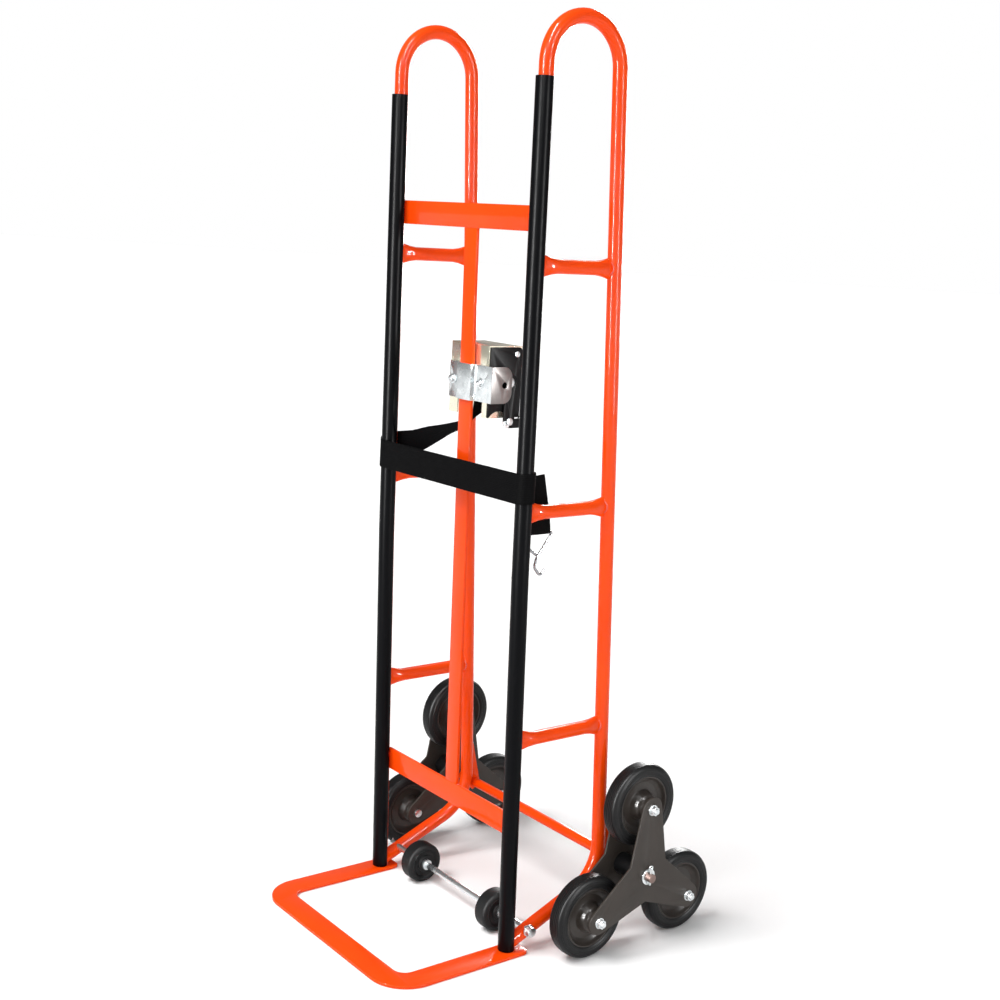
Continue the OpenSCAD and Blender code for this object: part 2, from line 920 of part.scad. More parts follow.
// Grip knob on a flange at the lever's rear edge
module lever_knob() {
    base = [lever_x - 8, spool_y + knob_back, spool_z - 80];
    color("#121212") {
        translate(base)
            cube([8 + lever_t, 3, 17]);
        translate(base + [4, 3, 8.5])
            rotate([-90, 0, 0])
                rotate_extrude()
                    union() {
                        square([11, 4]);
                        translate([0, 4])
                            square([14, 18]);
                        translate([0, 22])
                            square([10, 4]);
                        translate([10, 22])
                            circle(r = 4);
                    }
    }
}

module lever_screw() {
    color("silver") {
        rod_x(lever_x - 2, spool_y, spool_z - 68, lever_t + 4, 3);
        rod_x(lever_x + lever_t, spool_y, spool_z - 68, 3.5, 6.5);
    }
}

// ---- Webbing strap ----

// The corners of a ribbon across one station of [centre, width direction, thickness direction]
function across(s, w, t) =
    let (a = unit(s[1]) * w / 2, b = unit(s[2] - unit(s[1]) * (s[2] * unit(s[1]))) * t / 2)
    [s[0] - a - b, s[0] + a - b, s[0] + a + b, s[0] - a + b];

wrap_r = sleeve_r + strap_t / 2 + 0.6;
wrap_y = front_y(strap_z) - sleeve_shift;
tail_x = rail_x - 18.2;

// Stations round a rail, from one heading to another, with the width upright
function wrap(x, z0, z1, a0, a1, steps) = [
    for (i = [0 : steps])
        let (a = mix(a0, a1, i / steps), d = [cos(a), sin(a), 0])
            [[x, wrap_y, mix(z0, z1, i / steps)] + wrap_r * d, [0, 0, 1], d, strap_w, strap_t]
];

// The run behind: flat off the roll, gathered behind the post, then upright towards the left rail.
// Each station is [centre, width direction, thickness direction, width, thickness].
back_run = [
    [[25, 14, 984], [1, 0, 0], [0, 1, 0], 51, 2.4],
    [[25, 13, 968], [1, 0, 0], [0, 1, 0], 50, 2.4],
    [[22, 10, 952], [1, 0, 0.25], [0, 1, 0], 44, 2.8],
    [[14, 6, 938], [0.9, 0, 0.6], [0, 1, 0], 32, 3.6],
    [[0, 2, 927], [0.6, 0, 1], [0, 1, 0], 22, 4.6],
    [[-18, -1, 919], [0.2, 0, 1], [0, 1, 0], 19, 5],
    [[-45, -3, 909], [0.1, 0, 1], [0, 1, 0], 22, 4.2],
    [[-80, -4, 895], [0.15, 0, 1], [0, 1, 0], 33, 3.2],
    [[-120, -5, 880], [0.15, 0, 1], [0, 1, 0], 45, 2.6],
    [[-165, -6, 864], [0.1, 0, 1], [0, 1, 0], 51, 2.4]
];

// The free end hangs inside the right frame, behind the middle brace
tail = [
    [[tail_x, 9, 858], [0, 1, 0.1], [1, 0, 0], 44, 2.4],
    [[tail_x, 13, 836], [0, 1, -0.1], [1, 0, 0], 46, 2.4],
    [[tail_x, 19, 812], [0, 1, -0.15], [1, 0, 0], 46, 2.4],
    [[tail_x, 24, 788], [0, 1, -0.1], [1, 0, 0], 46, 2.4],
    [[tail_x, 27, 767.5], [0, 1, 0], [1, 0, 0], 45, 2.4]
];

module webbing_strap() {
    turn_in = [
        [[rail_x - 5, wrap_y + wrap_r + 1, strap_z + 6], [0, 0, 1], [0.35, 1, 0], 48, strap_t],
        [[tail_x + 0.5, wrap_y + wrap_r + 8, strap_z + 8], [0, 0, 1], [1, 0.3, 0], 44, strap_t]
    ];
    run = concat(
        back_run,
        wrap(-rail_x, 855, strap_z, 100, 270, 12),
        wrap(rail_x, strap_z + 4, strap_z + 6, 270, 440, 12),
        turn_in
    );
    color("#0f0f10") {
        skin([for (s = run) across(s, s[3], s[4])]);
        skin([for (s = tail) across(s, s[3], s[4])]);
    }
}

loop_y0 = 5;
loop_y1 = 49;
hook_z = 761;
hook_wire_r = hook_wire_d / 2;

// The strap's folded and sewn end, round the hook's top wire
module sewn_end() {
    color("#0f0f10")
        translate([tail_x, loop_y0, hook_z])
            rotate([-90, 0, 0])
                difference() {
                    cylinder(h = loop_y1 - loop_y0, r = hook_wire_r + 3.8);
                    translate([0, 0, -1])
                        cylinder(h = loop_y1 - loop_y0 + 2, r = hook_wire_r + running);
                }
}

// One bent wire: a wide triangle through the sewn end, closing into a hook
hook_pts = [[22, 722], [-34, 761], [57, 761], [24, 716], [20, 700], [34, 683], [43, 695]];
hook_bends = [0, 4, 4, 8, 7, 6, 0];

module wire_hook() {
    color("silver")
        translate([tail_x, 0, 0])
            bent_bar(hook_pts, hook_bends, hook_wire_r);
}

// Puts the origin on the floor at the middle of the whole outline
back_reach = axle_y + star_r * cos(30) + tyre_d / 2;
module placed() {
    translate([0, (toe_reach - back_reach) / 2, 0])
        children();
}

placed() side_rail(-1);  // left_side_rail
placed() side_rail(1);  // right_side_rail
placed() slide_sleeve(-1);  // left_sleeve
placed() slide_sleeve(1);  // right_sleeve
placed() brace(-1, 0);  // left_lower_brace
placed() brace(-1, 1);  // left_middle_brace
placed() brace(-1, 2);  // left_upper_brace
placed() brace(1, 0);  // right_lower_brace
placed() brace(1, 1);  // right_middle_brace
placed() brace(1, 2);  // right_upper_brace
placed() cross_bar(top_bar_z, front_lean_high);  // top_cross_bar
placed() cross_bar(low_bar_z, front_lean_low);  // lower_cross_bar
placed() centre_post();
placed() toe_loop();
placed() axle_tube();
placed() axle_brackets();
placed() cluster_axle();
placed() axle_washers();
placed() split_pins();
placed() inner_star(-1);  // left_inner_star
placed() outer_star(-1);  // left_outer_star
placed() star_hub(-1);  // left_star_hub
placed() wheel_bushes(-1);  // left_wheel_bushes
placed() wheel_bolts(-1);  // left_wheel_bolts
placed() inner_star(1);  // right_inner_star
placed() outer_star(1);  // right_outer_star
placed() star_hub(1);  // right_star_hub
placed() wheel_bushes(1);  // right_wheel_bushes
placed() wheel_bolts(1);  // right_wheel_bolts
for (i = [0 : 2]) {
    placed() rim(-1, i);
    placed() rim(1, i);
    placed() tyre(-1, i);
    placed() tyre(1, i);
}
placed() foot_axle();
placed() foot_axle_fasteners();
placed() foot_wheel(-1);  // left_foot_wheel
placed() foot_wheel(1);  // right_foot_wheel
placed() winch_housing();
placed() winch_side_plate();
placed() winch_clamp();
placed() clamp_bolts_and_nuts();
placed() winch_spool();
placed() webbing_roll();
placed() ratchet_gear();
placed() pawl();
placed() pawl_pin();
placed() ratchet_lever();
placed() lever_knob();
placed() lever_screw();
placed() webbing_strap();
placed() sewn_end();
placed() wire_hook();
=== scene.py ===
import json
import math
import random

import bmesh
import bpy
from mathutils import Matrix, Vector


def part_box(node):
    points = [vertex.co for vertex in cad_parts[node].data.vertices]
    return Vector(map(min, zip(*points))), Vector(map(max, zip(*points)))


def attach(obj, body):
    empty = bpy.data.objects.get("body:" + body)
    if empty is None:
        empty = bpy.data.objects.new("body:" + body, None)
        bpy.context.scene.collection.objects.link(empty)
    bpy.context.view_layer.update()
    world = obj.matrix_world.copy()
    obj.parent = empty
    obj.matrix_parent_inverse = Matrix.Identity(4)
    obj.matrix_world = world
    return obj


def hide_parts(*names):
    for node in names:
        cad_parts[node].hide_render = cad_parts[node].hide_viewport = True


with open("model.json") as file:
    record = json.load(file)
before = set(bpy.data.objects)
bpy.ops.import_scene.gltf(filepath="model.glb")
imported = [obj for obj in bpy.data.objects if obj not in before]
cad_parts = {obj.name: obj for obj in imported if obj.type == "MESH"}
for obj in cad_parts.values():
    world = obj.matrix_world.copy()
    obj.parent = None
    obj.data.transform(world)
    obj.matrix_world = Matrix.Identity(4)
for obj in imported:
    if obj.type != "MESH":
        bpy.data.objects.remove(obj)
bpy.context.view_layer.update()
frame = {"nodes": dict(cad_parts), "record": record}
nodes = frame["nodes"]
mm = 0.001
shiftY = -73.06 * mm  # from the front rails' feet to the middle of the outline
print("frame loaded:", len(nodes), "nodes")

# Camera

cameraLook = {
    "place": (2.0970, -1.6404, 1.2704),
    "azimuth": 51.859,
    "down": 10.386,
    "roll": 3.471,
    "lens": 53.285,
    "shift": (0.002, -0.0009),
}


def addCamera(look):
    turn, dip, roll = (math.radians(look[k]) for k in ("azimuth", "down", "roll"))
    ahead = Vector((-math.sin(turn) * math.cos(dip), math.cos(turn) * math.cos(dip), -math.sin(dip)))
    level = Vector((math.cos(turn), math.sin(turn), 0))
    upright = level.cross(ahead)
    right = level * math.cos(roll) + upright * math.sin(roll)
    up = upright * math.cos(roll) - level * math.sin(roll)
    bpy.ops.object.select_all(action="DESELECT")
    bpy.ops.object.camera_add(location=look["place"])
    camera = bpy.context.object
    camera.matrix_world = Matrix.LocRotScale(
        Vector(look["place"]), Matrix((right, up, -ahead)).transposed(), None
    )
    camera.data.lens = look["lens"]
    camera.data.sensor_width = 36
    camera.data.shift_x, camera.data.shift_y = look["shift"]
    camera.data.clip_end = 50
    bpy.context.scene.camera = camera


addCamera(cameraLook)
print("camera placed")

# Shader helpers


class Wire:
    # one output socket; sums on it add Math nodes
    def __init__(self, socket):
        self.socket = socket

    def sums(self, operation, first, second):
        tree = self.socket.id_data
        step = tree.nodes.new("ShaderNodeMath")
        step.operation = operation
        for slot, value in zip(step.inputs, (first, second)):
            if isinstance(value, Wire):
                tree.links.new(value.socket, slot)
            else:
                slot.default_value = value
        return Wire(step.outputs[0])

    def __add__(self, other):
        return self.sums("ADD", self, other)

    def __radd__(self, other):
        return self.sums("ADD", other, self)

    def __sub__(self, other):
        return self.sums("SUBTRACT", self, other)

    def __rsub__(self, other):
        return self.sums("SUBTRACT", other, self)

    def __mul__(self, other):
        return self.sums("MULTIPLY", self, other)

    def __rmul__(self, other):
        return self.sums("MULTIPLY", other, self)

    def sine(self):
        return self.sums("SINE", self, 0)


class Finish:
    # a material, its nodes and its Principled shader
    def __init__(self, name, **fixed):
        self.material = bpy.data.materials.new(name)
        self.material.use_nodes = True
        self.tree = self.material.node_tree
        self.shader = self.tree.nodes["Principled BSDF"]
        for socket, value in fixed.items():
            self.set(socket.replace("_", " "), value)
        self.material.diffuse_color = (*self.shader.inputs["Base Color"].default_value[:3], 1)

    def set(self, socket, value):
        if isinstance(value, Wire):
            self.tree.links.new(value.socket, self.shader.inputs[socket])
        elif isinstance(value, tuple):
            self.shader.inputs[socket].default_value = (*value, 1)
        else:
            self.shader.inputs[socket].default_value = value

    def node(self, kind, settings=None, inputs=None, out=0):
        step = self.tree.nodes.new("ShaderNode" + kind)
        for key, value in (settings or {}).items():
            if key == "stops":
                self.fillRamp(step.color_ramp, value)
            else:
                setattr(step, key, value)
        for key, value in (inputs or {}).items():
            if isinstance(value, Wire):
                self.tree.links.new(value.socket, step.inputs[key])
            elif isinstance(value, tuple) and len(step.inputs[key].default_value) == 4:
                step.inputs[key].default_value = (*value, 1)[:4]
            else:
                step.inputs[key].default_value = value
        return Wire(step.outputs[out])

    def fillRamp(self, ramp, stops):
        while len(ramp.elements) < len(stops):
            ramp.elements.new(1)
        for element, (place, colour) in zip(ramp.elements, stops):
            element.position = place
            grey = not isinstance(colour, tuple)
            element.color = (colour, colour, colour, 1) if grey else (*colour, 1)

    def place(self, stretch=(1, 1, 1)):
        here = self.node("TexCoord", out="Object")
        return self.node("Mapping", inputs={"Vector": here, "Scale": stretch})

    def noise(self, scale, detail=3.0, roughness=0.5, where=None):
        inputs = {"Vector": where or self.place(), "Scale": scale, "Detail": detail, "Roughness": roughness}
        return self.node("TexNoise", inputs=inputs)

    def ramp(self, value, *stops):
        return self.node("ValToRGB", {"stops": stops}, {"Fac": value})

    def blend(self, amount, first, second):
        step = self.tree.nodes.new("ShaderNodeMix")
        step.data_type = "RGBA"
        # the colour sockets of a Mix node are its seventh and eighth
        for place, value in ((0, amount), (6, first), (7, second)):
            if isinstance(value, Wire):
                self.tree.links.new(value.socket, step.inputs[place])
            else:
                step.inputs[place].default_value = (*value, 1)
        return Wire(step.outputs[2])

    def bump(self, height, strength, distance):
        inputs = {"Height": height, "Strength": strength, "Distance": distance}
        self.set("Normal", self.node("Bump", inputs=inputs))


# Finishes

frameOrange = {
    "base": (0.88, 0.066, 0.0015),
    "shade": (0.84, 0.055, 0.0012),
    "dust": (0.90, 0.085, 0.005),
    "roughness": 0.30,
    "lacquer": 0.32,
    "peel": 0.02,
}


def orangeCoat(look):
    coat = Finish("orangePowderCoat", Base_Color=look["base"], Coat_Weight=look["lacquer"])
    coat.set("Coat Roughness", 0.04)
    coat.set("Specular IOR Level", 0.05)
    cloudy = coat.noise(9.0, 3.0)
    specks = coat.noise(420.0, 2.0)
    tint = coat.blend(coat.ramp(cloudy, (0.35, 0.0), (0.75, 1.0)), look["base"], look["shade"])
    tint = coat.blend(coat.ramp(specks, (0.62, 0.0), (0.74, 0.5)), tint, look["dust"])
    coat.set("Base Color", tint)
    coat.set("Roughness", look["roughness"] - 0.05 + cloudy * 0.14)
    coat.bump(coat.noise(300.0, 2.0), look["peel"], 0.0006)
    return coat.material


# the second colour darkens the low places of the bead's lumps: painted shade in its hollows
weldPaint = {"base": (0.86, 0.066, 0.003), "pitShade": (0.60, 0.030, 0.002)}


def weldCoat(look):
    coat = Finish("coatedWeld", Base_Color=look["base"], Roughness=0.34, Coat_Weight=0.3)
    lumps = coat.noise(520.0, 3.0)
    raised = coat.ramp(lumps, (0.35, 0.0), (0.7, 1.0))
    # the low places of the lumps take the darker colour as painted shade
    coat.set("Base Color", coat.blend(raised, look["pitShade"], look["base"]))
    coat.bump(lumps, 0.35, 0.0008)
    return coat.material


sleeveBlack = {"base": (0.0022, 0.0024, 0.0032), "scuff": (0.0055, 0.0057, 0.007), "roughness": 0.24}


def sleevePlastic(look):
    plastic = Finish("blackSleevePlastic", Base_Color=look["base"], Roughness=look["roughness"])
    plastic.set("Specular IOR Level", 0.06)
    streaks = plastic.noise(60.0, 4.0, where=plastic.place((14, 14, 0.5)))
    scuffs = plastic.noise(38.0, 5.0, 0.65)
    mask = plastic.ramp(scuffs * 0.6 + streaks * 0.4, (0.56, 0.0), (0.72, 1.0))
    plastic.set("Base Color", plastic.blend(mask, look["base"], look["scuff"]))
    plastic.set("Roughness", look["roughness"] + streaks * 0.16)
    plastic.bump(streaks, 0.10, 0.0006)
    return plastic.material


starCoat = {"base": (0.036, 0.029, 0.024), "light": (0.047, 0.038, 0.032), "rubbed": (0.085, 0.073, 0.064)}


def brownCoat(name, look, roughness, coatWeight, grain):
    coat = Finish(name, Base_Color=look["base"], Roughness=roughness, Coat_Weight=coatWeight)
    coat.set("Coat Roughness", 0.15)
    coat.set("Specular IOR Level", 0.2)
    cloudy = coat.noise(22.0, 4.0)
    specks = coat.noise(700.0, 2.0)
    tint = coat.blend(coat.ramp(cloudy, (0.3, 0.0), (0.75, 1.0)), look["base"], look["light"])
    tint = coat.blend(coat.ramp(specks, (0.66, 0.0), (0.75, 0.6)), tint, look["rubbed"])
    coat.set("Base Color", tint)
    coat.set("Roughness", roughness - 0.06 + cloudy * 0.16)
    coat.bump(coat.noise(900.0, 2.0), grain, 0.0005)
    return coat.material


rimCoat = {"base": (0.030, 0.024, 0.020), "light": (0.042, 0.034, 0.029), "rubbed": (0.09, 0.08, 0.07)}
rubberLook = {"base": (0.0028, 0.0029, 0.0034), "dusty": (0.010, 0.0097, 0.0094), "roughness": 0.33}


def rubber(name, look, dustiness):
    coat = Finish(name, Base_Color=look["base"], Roughness=look["roughness"])
    coat.set("Specular IOR Level", 0.22)
    cloudy = coat.noise(30.0, 5.0, 0.6)
    fine = coat.noise(650.0, 3.0)
    mask = coat.ramp(cloudy * 0.65 + fine * 0.35, (0.5, 0.0), (0.72, 1.0)) * dustiness
    coat.set("Base Color", coat.blend(mask, look["base"], look["dusty"]))
    coat.set("Roughness", look["roughness"] + fine * 0.2)
    coat.bump(fine, 0.18, 0.0006)
    return coat.material


zincLook = {"base": (0.74, 0.77, 0.78), "dull": (0.46, 0.49, 0.50), "roughness": 0.22}
hookLook = {"base": (0.34, 0.35, 0.36), "dull": (0.20, 0.21, 0.22), "roughness": 0.18}
rawLook = {"base": (0.24, 0.17, 0.15), "dull": (0.14, 0.10, 0.09), "roughness": 0.34}
# a darker copy of the zinc for the clamp's ear: painted shade, as the ear faces away from the light
earShadeLook = {"base": (0.20, 0.185, 0.18), "dull": (0.14, 0.13, 0.125), "roughness": 0.3}


def zinc(name, look, spangle=60.0):
    metal = Finish(name, Base_Color=look["base"], Metallic=1.0, Roughness=look["roughness"])
    cloudy = metal.noise(spangle, 4.0, 0.6)
    fine = metal.noise(1400.0, 2.0)
    mask = metal.ramp(cloudy, (0.35, 0.0), (0.75, 1.0))
    metal.set("Base Color", metal.blend(mask, look["base"], look["dull"]))
    metal.set("Roughness", look["roughness"] - 0.05 + cloudy * 0.22)
    metal.bump(fine, 0.02, 0.0002)
    return metal.material


yellowZincLook = {
    "tints": (
        (0.0, (0.80, 0.80, 0.70)), (0.40, (0.84, 0.82, 0.68)), (0.55, (0.80, 0.76, 0.60)),
        (0.68, (0.78, 0.77, 0.72)), (1.0, (0.72, 0.77, 0.74)),
    ),
    "roughness": 0.22,
}


def yellowZinc(look):
    metal = Finish("yellowZinc", Base_Color=look["tints"][0][1], Metallic=0.9, Roughness=look["roughness"])
    sheen = metal.noise(26.0, 3.0, 0.55)
    metal.set("Base Color", metal.ramp(sheen, *look["tints"]))
    metal.set("Roughness", look["roughness"] - 0.04 + metal.noise(40.0, 3.0) * 0.12)
    return metal.material


blackPlateLook = {"base": (0.0045, 0.0045, 0.0050), "rubbed": (0.020, 0.020, 0.021), "roughness": 0.30}


def blackCoat(name, look):
    coat = Finish(name, Base_Color=look["base"], Roughness=look["roughness"])
    coat.set("Specular IOR Level", 0.12)
    cloudy = coat.noise(120.0, 5.0, 0.65)
    mask = coat.ramp(cloudy, (0.58, 0.0), (0.78, 1.0))
    coat.set("Base Color", coat.blend(mask, look["base"], look["rubbed"]))
    coat.set("Roughness", look["roughness"] - 0.04 + cloudy * 0.2)
    coat.bump(coat.noise(800.0, 2.0), 0.10, 0.0004)
    return coat.material


# the pick is in metres along the strap, and the ridges are counted across it
webbingLook = {
    "base": (0.0014, 0.0014, 0.0016),
    # the lighter colour of the raised threads is a painted sheen
    "light": (0.0050, 0.0050, 0.0056),
    "pick": 0.0016,
    "ridges": 17,
}


def webbingWeave(look):
    cloth = Finish("blackWebbing", Base_Color=look["base"], Roughness=0.55)
    cloth.set("Specular IOR Level", 0.02)
    across = cloth.node("SeparateXYZ", inputs={"Vector": cloth.node("TexCoord", out="UV")})
    along = Wire(across.socket.node.outputs[1])
    # twill: ridges run along the strap, and each is cut by picks that step sideways
    ridge = (across * (look["ridges"] * 2 * math.pi)).sine()
    pick = (along * (2 * math.pi / look["pick"]) + across * (look["ridges"] * math.pi)).sine()
    weave = ridge * 0.28 + pick * 0.22 + 0.5
    worn = cloth.noise(55.0, 4.0)
    # the raised threads take the lighter colour: a painted sheen along the weave
    tint = cloth.blend(cloth.ramp(weave, (0.35, 0.0), (0.95, 1.0)), look["base"], look["light"])
    cloth.set("Base Color", tint)
    cloth.set("Roughness", 0.42 + worn * 0.25)
    cloth.bump(weave, 0.5, 0.0005)
    return cloth.material


orange = orangeCoat(frameOrange)
welded = weldCoat(weldPaint)
sleeveBlackPlastic = sleevePlastic(sleeveBlack)
starBrown = brownCoat("starBrownCoat", starCoat, 0.42, 0.05, 0.16)
rimBrown = brownCoat("rimBrownCoat", rimCoat, 0.34, 0.2, 0.08)
tyreRubber = rubber("tyreRubber", rubberLook, 0.7)
footRubber = rubber("footWheelRubber", {**rubberLook, "roughness": 0.42}, 0.5)
brightZinc = zinc("brightZinc", zincLook)
plainZinc = zinc("plainZinc", {**zincLook, "dull": (0.62, 0.66, 0.67)}, 12.0)
hookZinc = zinc("hookZinc", hookLook, 12.0)
rawSteel = zinc("rawSteel", rawLook, 34.0)
earShadeZinc = zinc("earShadeZinc", earShadeLook, 30.0)
yellowZincSheet = yellowZinc(yellowZincLook)
blackPlate = blackCoat("blackPlateCoat", blackPlateLook)
blackKnob = blackCoat("blackKnobPlastic", {**blackPlateLook, "roughness": 0.2})
blackHub = blackCoat("blackHubCoat", {**blackPlateLook, "roughness": 0.36})
webbing = webbingWeave(webbingLook)

finishOf = {
    "orange_paint": orange,
    "black_sleeve": sleeveBlackPlastic,
    "star_paint": starBrown,
    "black_hub": blackHub,
    "rim_paint": rimBrown,
    "tyre_rubber": tyreRubber,
    "foot_wheel_rubber": footRubber,
    "yellow_zinc": yellowZincSheet,
    "black_plate": blackPlate,
    "black_knob": blackKnob,
    "webbing": webbing,
    "zinc": brightZinc,
}
slotOf = {row["node"]: row["material_slot"] for row in frame["record"]["subparts"]}
bodyOf = {n: body for body, names in frame["record"]["behaviour"]["bodies"].items() for n in names}
for name, node in nodes.items():
    node.data.materials.clear()
    node.data.materials.append(finishOf[slotOf[name]])
finishOfNode = {"cluster_axle": rawSteel, "foot_axle": plainZinc, "wire_hook": hookZinc}
print("finishes made")

# Mesh helpers


def only(piece):
    bpy.ops.object.select_all(action="DESELECT")
    piece.select_set(True)
    bpy.context.view_layer.objects.active = piece


def finished(piece, name, material, body, angle=35):
    piece.name = name
    piece.data.name = name
    only(piece)
    piece.data.materials.clear()
    piece.data.materials.append(material)
    bpy.ops.object.shade_smooth_by_angle(angle=math.radians(angle))
    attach(piece, body)
    return piece


edgeLook = {"merge": 0.02, "flat": 0.5, "segments": 2, "sharp": 32}


# A copy of a CAD node with its doubles merged, its flat faces made whole and its edges rounded
def softened(name, width, look):
    source = nodes[name]
    piece = bpy.data.objects.new(name + "Body", source.data.copy())
    bpy.context.scene.collection.objects.link(piece)
    only(piece)
    if piece.data.has_custom_normals:
        bpy.ops.mesh.customdata_custom_splitnormals_clear()
    bpy.ops.object.mode_set(mode="EDIT")
    bpy.ops.mesh.select_all(action="SELECT")
    bpy.ops.mesh.remove_doubles(threshold=look["merge"] * mm)
    bpy.ops.mesh.dissolve_limited(angle_limit=math.radians(look["flat"]))
    bpy.ops.object.mode_set(mode="OBJECT")
    if width:
        bevel = piece.modifiers.new("roundedEdges", "BEVEL")
        bevel.width = width
        bevel.segments = look["segments"]
        bevel.limit_method = "ANGLE"
        bevel.angle_limit = math.radians(look["sharp"])
        bpy.ops.object.modifier_apply(modifier=bevel.name)
    material = finishOfNode.get(name, finishOf[slotOf[name]])
    finished(piece, name + "Body", material, bodyOf[name], look["sharp"])
    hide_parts(name)


# how far each node's edges are rounded, in millimetres
edgeRounds = {
    "top_cross_bar": 0.8, "lower_cross_bar": 0.8, "centre_post": 0.8, "toe_loop": 1.1,
    "axle_brackets": 0.6, "winch_housing": 0.5, "winch_side_plate": 0.4, "winch_clamp": 0.5,
    "ratchet_lever": 0.4, "ratchet_gear": 0.3, "clamp_bolts_and_nuts": 0.35,
    "left_wheel_bolts": 0.5, "right_wheel_bolts": 0.5, "cluster_axle": 0.8, "axle_washers": 0.3,
    "foot_axle_fasteners": 0.4, "foot_axle": 0.4, "left_foot_wheel": 0.8, "right_foot_wheel": 0.8,
    "left_inner_star": 0.5, "left_outer_star": 0.5, "right_inner_star": 0.5, "right_outer_star": 0.5,
    "left_star_hub": 0.3, "right_star_hub": 0.3, "left_wheel_bushes": 0.3, "right_wheel_bushes": 0.3,
    "left_sleeve": 0.3, "right_sleeve": 0.3, "left_side_rail": 0, "right_side_rail": 0, "lever_knob": 0.6,
    "lever_screw": 0.4, "pawl": 0.3, "pawl_pin": 0.2, "winch_spool": 0.4,
    "axle_tube": 0.3, "wire_hook": 0, "split_pins": 0,
}
for side in ("left", "right"):
    for k in (1, 2, 3):
        edgeRounds[f"{side}_rim_{k}"] = 0.3
    for height in ("lower", "middle", "upper"):
        edgeRounds[f"{side}_{height}_brace"] = 0
for name, width in edgeRounds.items():
    softened(name, width * mm, edgeLook)
print("edges rounded")

# Webbing strap

# lengths are in millimetres, measured from the front rails' feet
strapLook = {
    "width": 52,
    "thick": 1.5,
    "foldedWidth": 17,
    "layers": 1.35,
    "columns": 16,
    "step": 5.0,
    "folds": True,
}
railX = 205.5
strapZ = 840
sleeveR = 15.2
wrapR = sleeveR + 1.6
wrapY = -26.4
tailX = 187.3
wireZ = 761

upright = (0, 0, 1)
backRun = [
    ((25, 14, 984), (1, 0, 0), (0, 1, 0), 51), ((25, 13, 968), (1, 0, 0), (0, 1, 0), 50),
    ((22, 10, 952), (1, 0, 0.25), (0, 1, 0), 44), ((14, 6, 938), (0.9, 0, 0.6), (0, 1, 0), 32),
    ((0, 2, 927), (0.6, 0, 1), (0, 1, 0), 22), ((-18, -1, 919), (0.2, 0, 1), (0, 1, 0), 19),
    ((-45, -3, 909), (0.1, 0, 1), (0, 1, 0), 22), ((-80, -4, 895), (0.15, 0, 1), (0, 1, 0), 33),
    ((-120, -5, 880), (0.15, 0, 1), (0, 1, 0), 45), ((-165, -6, 864), (0.1, 0, 1), (0, 1, 0), 51),
]
tailRun = [
    ((tailX + 1, 9, 861), (0, 1, 0.1), (1, 0, 0), 40), ((tailX + 1, 13, 836), (0, 1, -0.1), (1, 0, 0), 46),
    ((tailX + 1, 19, 812), (0, 1, -0.15), (1, 0, 0), 46), ((tailX + 1, 24, 788), (0, 1, -0.1), (1, 0, 0), 46),
]


def wrapped(x, lowZ, highZ, start, end, count):
    turns = []
    for k in range(count + 1):
        share = k / count
        angle = math.radians(start + (end - start) * share)
        out = (math.cos(angle), math.sin(angle), 0)
        z = lowZ + (highZ - lowZ) * share
        turns.append(((x + wrapR * out[0], wrapY + wrapR * out[1], z), upright, out, 52))
    return turns


def eased(values, share):
    # Catmull-Rom through four values
    a, b, c, d = values
    bent = (2 * a - 5 * b + 4 * c - d) * share**2
    twisted = (3 * b - a - 3 * c + d) * share**3
    return 0.5 * (2 * b + (c - a) * share + bent + twisted)


def dense(stations, step):
    rows = [(Vector(c), Vector(w).normalized(), Vector(t).normalized(), float(n)) for c, w, t, n in stations]
    result = []
    for k in range(len(rows) - 1):
        four = [rows[max(0, min(len(rows) - 1, k + j))] for j in (-1, 0, 1, 2)]
        pieces = max(1, round((rows[k + 1][0] - rows[k][0]).length / step))
        for j in range(pieces):
            result.append(tuple(eased([row[part] for row in four], j / pieces) for part in range(4)))
    return result + [rows[-1]]


def triangleWave(s):
    # three equal slopes between -1 and 1
    if abs(s) < 1 / 3:
        return -3 * s
    return 3 * s - math.copysign(2, s)


def ribbon(name, stations, look):
    rows = dense(stations, look["step"])
    cols = look["columns"]
    corners = []
    uvs = []
    along = 0.0
    for k, (centre, across, face, width) in enumerate(rows):
        if k:
            along += (centre - rows[k - 1][0]).length
        across = across.normalized()
        face = (face - across * face.dot(across)).normalized()
        fold = 0.0
        half = width / 2
        if look["folds"]:
            fold = max(0.0, min(1.0, (look["width"] - width) / (look["width"] - look["foldedWidth"])))
            half = look["width"] / 2
        for j in range(cols + 1):
            s = -1 + 2 * j / cols
            wide = (1 - fold) * s * half + fold * triangleWave(s) * look["foldedWidth"] / 2
            deep = fold * s * look["thick"] * look["layers"]
            corners.append((centre + across * wide + face * deep) * mm)
            uvs.append((j / cols, along * mm))
    faces = []
    for k in range(len(rows) - 1):
        for j in range(cols):
            low = k * (cols + 1) + j
            high = low + cols + 1
            faces.append((low, low + 1, high + 1, high))
    mesh = bpy.data.meshes.new(name)
    mesh.from_pydata([c + Vector((0, shiftY, 0)) for c in corners], [], faces)
    layer = mesh.uv_layers.new(name="UVMap")
    for loop in mesh.loops:
        layer.data[loop.index].uv = uvs[loop.vertex_index]
    piece = bpy.data.objects.new(name, mesh)
    bpy.context.scene.collection.objects.link(piece)
    only(piece)
    wall = piece.modifiers.new("thickness", "SOLIDIFY")
    wall.thickness = look["thick"] * mm
    wall.offset = 0
    bpy.ops.object.modifier_apply(modifier=wall.name)
    bevel = piece.modifiers.new("selvedge", "BEVEL")
    bevel.width = look["thick"] * 0.4 * mm
    bevel.segments = 2
    bevel.limit_method = "ANGLE"
    bevel.angle_limit = math.radians(60)
    bpy.ops.object.modifier_apply(modifier=bevel.name)
    return piece


def joined(pieces):
    bpy.ops.object.select_all(action="DESELECT")
    for piece in pieces:
        piece.select_set(True)
    bpy.context.view_layer.objects.active = pieces[0]
    bpy.ops.object.join()
    return pieces[0]


